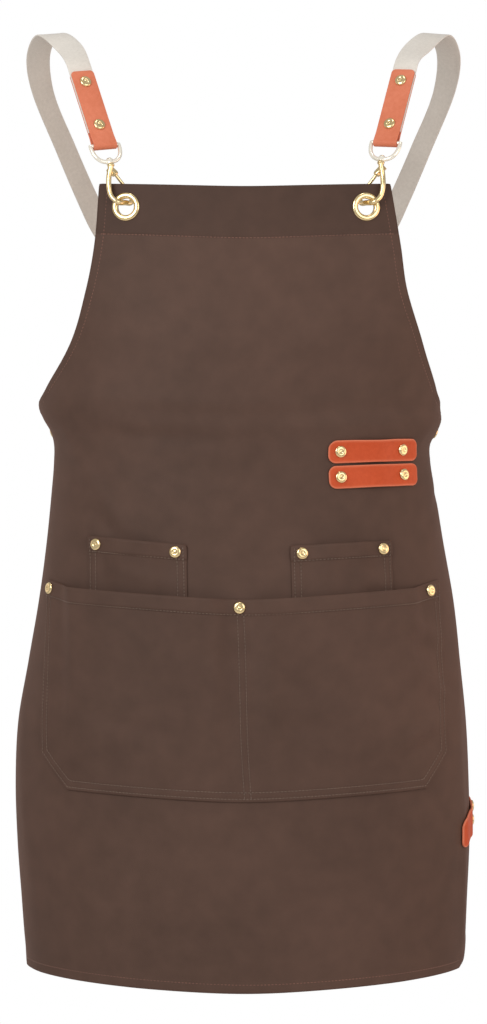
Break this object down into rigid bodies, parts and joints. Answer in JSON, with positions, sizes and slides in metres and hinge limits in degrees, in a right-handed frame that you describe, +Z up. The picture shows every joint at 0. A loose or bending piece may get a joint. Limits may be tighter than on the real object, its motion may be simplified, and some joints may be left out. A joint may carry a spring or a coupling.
{
  "type": "cross back work apron",
  "caption": "Cloth work apron with bib, patch pockets, leather tool straps and webbing shoulder straps that cross behind and clip on with snap hooks, kept in its worn form.",
  "frame": {"origin": "midway between the two shoulders, at the height of the underside of the shoulder straps over them", "axes": "+Z up as worn, +X to the right as the front is seen, the front faces -Y"},
  "size_m": [0.48, 0.2714, 0.9799],
  "materials": {
    "cloth": "satin waxed cloth, dark brown",
    "leather": "smooth rust leather",
    "webbing": "matt woven webbing, beige grey",
    "brass": "polished",
    "pale_metal": "polished, pale"
  },
  "bodies": {
    "apron": {"apron_panel": "cloth", "front_pocket": "cloth", "grommet_left": "brass", "grommet_right": "brass", "hook_left": "brass", "hook_right": "brass", "ring_left": "pale_metal", "ring_right": "pale_metal", "rivet_pocket_left": "brass", "rivet_pocket_middle": "brass", "rivet_pocket_right": "brass", "rivet_side_lower": "brass", "rivet_side_upper": "brass", "rivet_small_left_left": "brass", "rivet_small_left_right": "brass", "rivet_small_right_left": "brass", "rivet_small_right_right": "brass", "rivet_strap_left": "brass", "rivet_strap_right": "brass", "rivet_tab_left_lower": "brass", "rivet_tab_left_upper": "brass", "rivet_tab_right_lower": "brass", "rivet_tab_right_upper": "brass", "rivet_tool_lower_left": "brass", "rivet_tool_lower_right": "brass", "rivet_tool_upper_left": "brass", "rivet_tool_upper_right": "brass", "side_strap": "leather", "small_pocket_left": "cloth", "small_pocket_right": "cloth", "strap_left": "webbing", "strap_right": "webbing", "tab_left": "leather", "tab_right": "leather", "tool_strap_lower": "leather", "tool_strap_upper": "leather"},
    "gate_left": {"gate_left": "brass"},
    "gate_right": {"gate_right": "brass"}
  },
  "joints": [
    {"name": "gate_left_hinge", "type": "hinge", "parent": "apron", "child": "gate_left", "pos_m": [-0.12989, -0.09964, -0.15639], "axis": [-0.5792, 0.7789, -0.2405], "range_deg": [0, 9], "stiffness_Nm_per_rad": 0.05, "springref_deg": -11.46},
    {"name": "gate_right_hinge", "type": "hinge", "parent": "apron", "child": "gate_right", "pos_m": [0.13474, -0.09895, -0.15645], "axis": [-0.5823, -0.7718, 0.2555], "range_deg": [0, 9], "stiffness_Nm_per_rad": 0.05, "springref_deg": -11.46}
  ]
}
